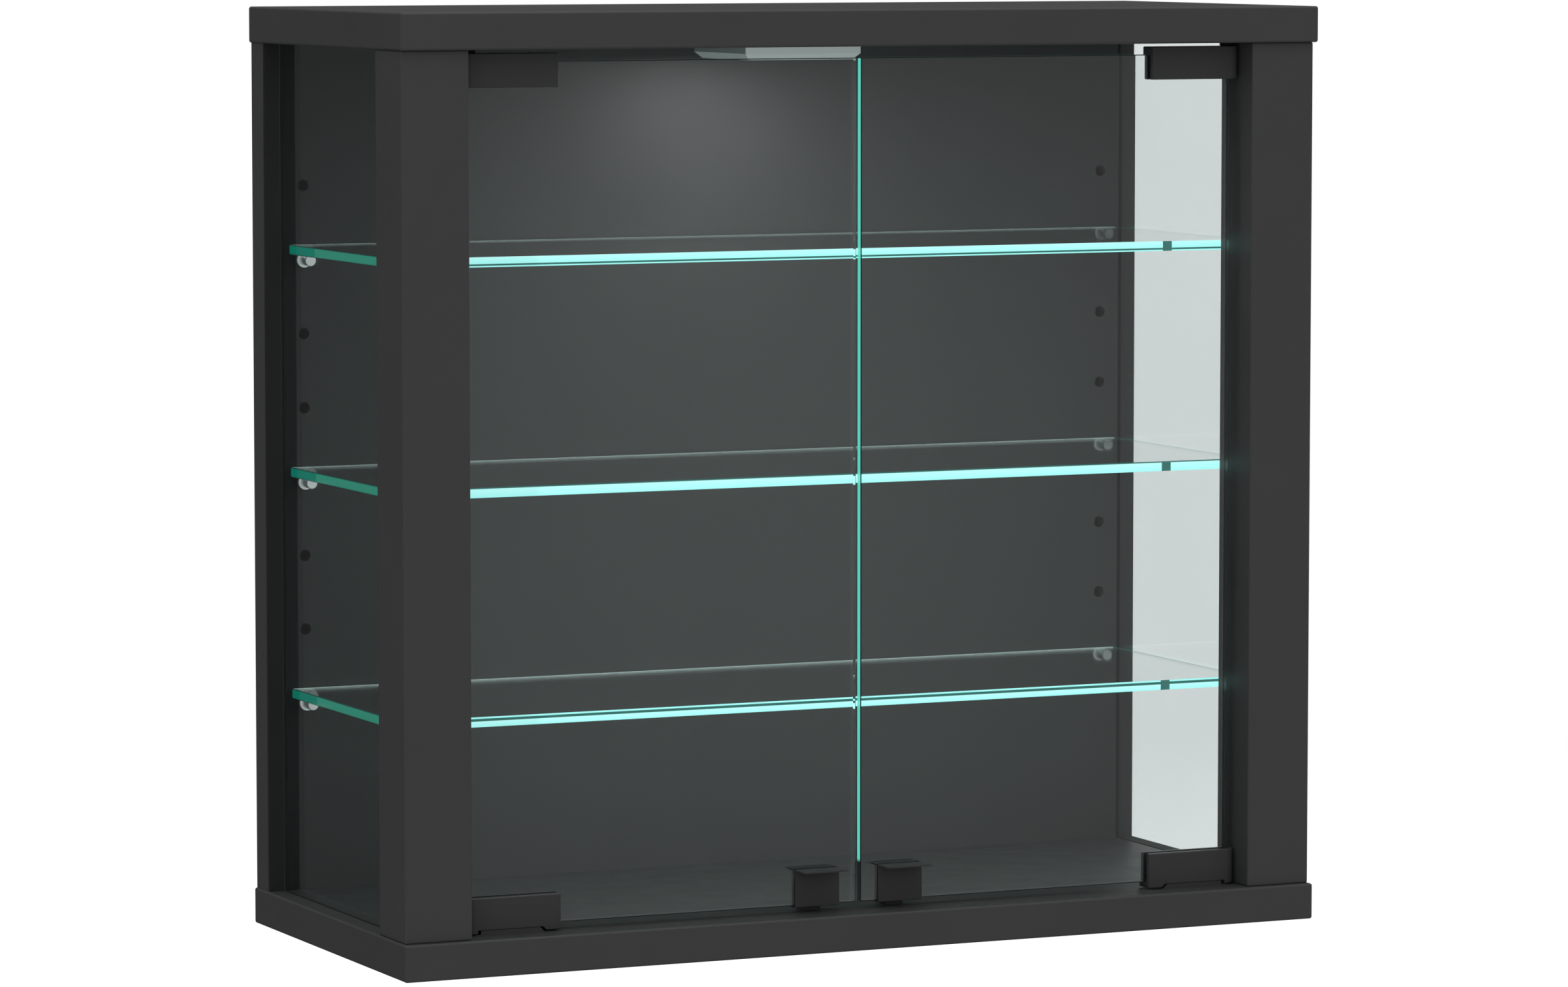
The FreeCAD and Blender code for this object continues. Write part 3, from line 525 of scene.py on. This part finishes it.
def build_door(side):
    node = "%s_door_glass" % side
    low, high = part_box(node)
    inward = 1 if side == "left" else -1
    meeting = painted_glow_edge("%s_door_meeting_edge" % side, "Z", low.z, high.z, MEETING_BANDS, 1.0,
                         inner_lip=(low.y, low.y + DOOR_LIP))

    def finish_of(normal):
        if abs(normal.y) > SQUARE:
            return door_glass
        if normal.x * inward > SQUARE:
            return meeting
        return door_top_edge if normal.z > SQUARE else door_edge

    pane("%s_door_pane" % side, node, "%s_door" % side, finish_of)


def build_side(side):
    pane("%s_side_pane" % side, "%s_side_glass" % side, "case",
         lambda normal: side_glass if abs(normal.x) > SQUARE else side_edge)


def build_glass():
    for place in ("upper", "middle", "lower"):
        build_shelf(place)
    for side in ("left", "right"):
        build_door(side)
        build_side(side)


# ---------------------------------------------------------------- stage, light and camera

FLOOR_DROP = 0.9
FLOOR_SIZE = 16.0
FLOOR_CLEAR_FROM = 1.2
FLOOR_BOUNCE = linear(190, 190, 190)
FLOOR_GLOW = 0.4
WHITE = (1.0, 1.0, 1.0, 1.0)
# How bright the studio is: to the camera, through glass, as soft light from the left and from the right,
# mirrored by finishes near the horizon and above, and mirrored by glass in front and behind.
SEEN_LEVEL = 1.0
THROUGH_LEVEL = 0.95
SOFT_LEVELS = (1.1, 1.12)
MIRROR_LEVELS = (0.015, 0.45)
GLASS_SHEEN = (0.58, 0.06)
LAMP_GAP = 0.5 * MM
LAMP_SIZE = (60 * MM, 60 * MM)
SPREAD_GAP = 24 * MM
SPREAD_X = 40 * MM
SPREAD_Z = -30 * MM
SPREAD_SIZE = (470 * MM, 430 * MM)
CAMERA_PLACE = Vector((-1.6845, -3.8244, 0.3421))
CAMERA_YAW = math.radians(24.494)
CAMERA_TILT = math.radians(5.049)
CAMERA_LENS = 152.73
SENSOR_WIDTH = 36.0


def mirrored_once(tree, rays):
    """1 for a ray that has been mirrored on its way, otherwise 0."""
    return math_node(tree, "MINIMUM", rays.outputs["Glossy Depth"], 1.0)


def build_world():
    """A white studio. Soft light comes from all round; what the surfaces mirror is darker."""
    world = bpy.data.worlds.new("studio")
    world.use_nodes = True
    tree = world.node_tree
    background = tree.nodes["Background"]
    direction = split(tree, add_node(tree, "ShaderNodeTexCoord").outputs["Generated"])
    rays = add_node(tree, "ShaderNodeLightPath")
    soft = remap(tree, direction["X"], -0.5, 0.5, *SOFT_LEVELS)
    in_finish = remap(tree, direction["Z"], 0.15, 0.8, *MIRROR_LEVELS)
    in_glass = remap(tree, direction["Y"], -0.5, -0.1, *GLASS_SHEEN)
    mirrored = mixed(tree, rays.outputs["Is Singular Ray"], in_finish, in_glass)
    right_rear = math_node(tree, "MULTIPLY", remap(tree, direction["X"], -0.2, 0.2),
                           remap(tree, direction["Y"], -0.2, 0.2))
    inside_pane = remap(tree, right_rear, 0.0, 1.0, MIRROR_LEVELS[0], THROUGH_LEVEL)
    through = mixed(tree, mirrored_once(tree, rays), THROUGH_LEVEL, inside_pane)
    level = mixed(tree, rays.outputs["Is Glossy Ray"], soft, mirrored)
    level = mixed(tree, rays.outputs["Is Transmission Ray"], level, through)
    level = mixed(tree, rays.outputs["Is Camera Ray"], level, SEEN_LEVEL)
    background.inputs["Color"].default_value = WHITE
    tree.links.new(level, background.inputs["Strength"])
    bpy.context.scene.world = world


def build_floor():
    """A pale disc that fades out all round, and that no mirror shows."""
    shape = bmesh.new()
    bmesh.ops.create_circle(shape, cap_ends=True, segments=96, radius=FLOOR_SIZE / 2)
    material, tree, shader, output = new_material("pale_floor")
    place = place_coordinates(tree)
    tint = ramp(tree, noise(tree, place, 1.5), [(0.3, linear(248, 248, 247)), (0.7, linear(251, 251, 250))])
    rays = add_node(tree, "ShaderNodeLightPath")
    seen = math_node(tree, "MAXIMUM", rays.outputs["Is Camera Ray"], rays.outputs["Is Transmission Ray"])
    tree.links.new(mixed_colour(tree, seen, FLOOR_BOUNCE, tint), shader.inputs["Base Color"])
    tree.links.new(tint, shader.inputs["Emission Color"])
    glow = math_node(tree, "MULTIPLY", seen, FLOOR_GLOW)
    tree.links.new(glow, shader.inputs["Emission Strength"])
    shader.inputs["Roughness"].default_value = 0.8
    distance = add_node(tree, "ShaderNodeVectorMath", operation="LENGTH")
    tree.links.new(place, distance.inputs[0])
    fade = remap(tree, distance.outputs["Value"], FLOOR_CLEAR_FROM, FLOOR_SIZE / 2)
    mix_in_clear(tree, math_node(tree, "MAXIMUM", fade, mirrored_once(tree, rays)), shader, output, WHITE)
    floor = mesh_object("floor", shape, [material])
    floor.location = (0.0, 0.0, cad_low[2] - FLOOR_DROP)


def area_light(name, place, target, size, power):
    light = bpy.data.lights.new(name, "AREA")
    light.shape = "RECTANGLE"
    light.size, light.size_y = size
    light.energy = power
    lamp = bpy.data.objects.new(name, light)
    lamp.location = place
    lamp.rotation_euler = (Vector(target) - Vector(place)).to_track_quat("-Z", "Y").to_euler()
    bpy.context.scene.collection.objects.link(lamp)
    return lamp


def build_lights():
    """A softbox over the stage, the showcase's own lamp, and its light spread through the inside."""
    overhead = area_light("overhead_softbox", (0.0, -0.4, 3.0), (0.0, -0.1, 0.0), (3.2, 3.2), 30.0)
    overhead.visible_camera = False
    low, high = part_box("light_lens")
    middle = (low + high) / 2
    lamp = area_light("showcase_lamp", (middle.x, middle.y, low.z - LAMP_GAP), (middle.x, middle.y, -1.0),
                      LAMP_SIZE, 0.31)
    behind_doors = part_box("left_door_glass")[1].y + SPREAD_GAP
    spread = area_light("spread_lamplight", (SPREAD_X, behind_doors, SPREAD_Z),
                        (SPREAD_X, behind_doors + 1.0, SPREAD_Z), SPREAD_SIZE, 0.68)
    spread.data.color = (0.93, 1.0, 0.985)
    spread.visible_camera = False
    spread.visible_glossy = False
    spread.visible_transmission = False
    for own in (lamp, spread):
        own.parent = frame["bodies"]["case"]


def build_camera():
    camera_data = bpy.data.cameras.new("camera")
    camera_data.sensor_width = SENSOR_WIDTH
    camera_data.lens = CAMERA_LENS
    camera_data.clip_end = 100.0
    camera = bpy.data.objects.new("camera", camera_data)
    camera.location = CAMERA_PLACE
    camera.rotation_euler = (math.pi / 2 - CAMERA_TILT, 0.0, -CAMERA_YAW)
    bpy.context.scene.collection.objects.link(camera)
    bpy.context.scene.camera = camera


def build_scene():
    scene = bpy.context.scene
    scene.view_settings.view_transform = "Standard"
    scene.view_settings.look = "None"
    dress_cad_nodes()
    build_glass()
    build_world()
    build_floor()
    build_lights()
    build_camera()


build_scene()
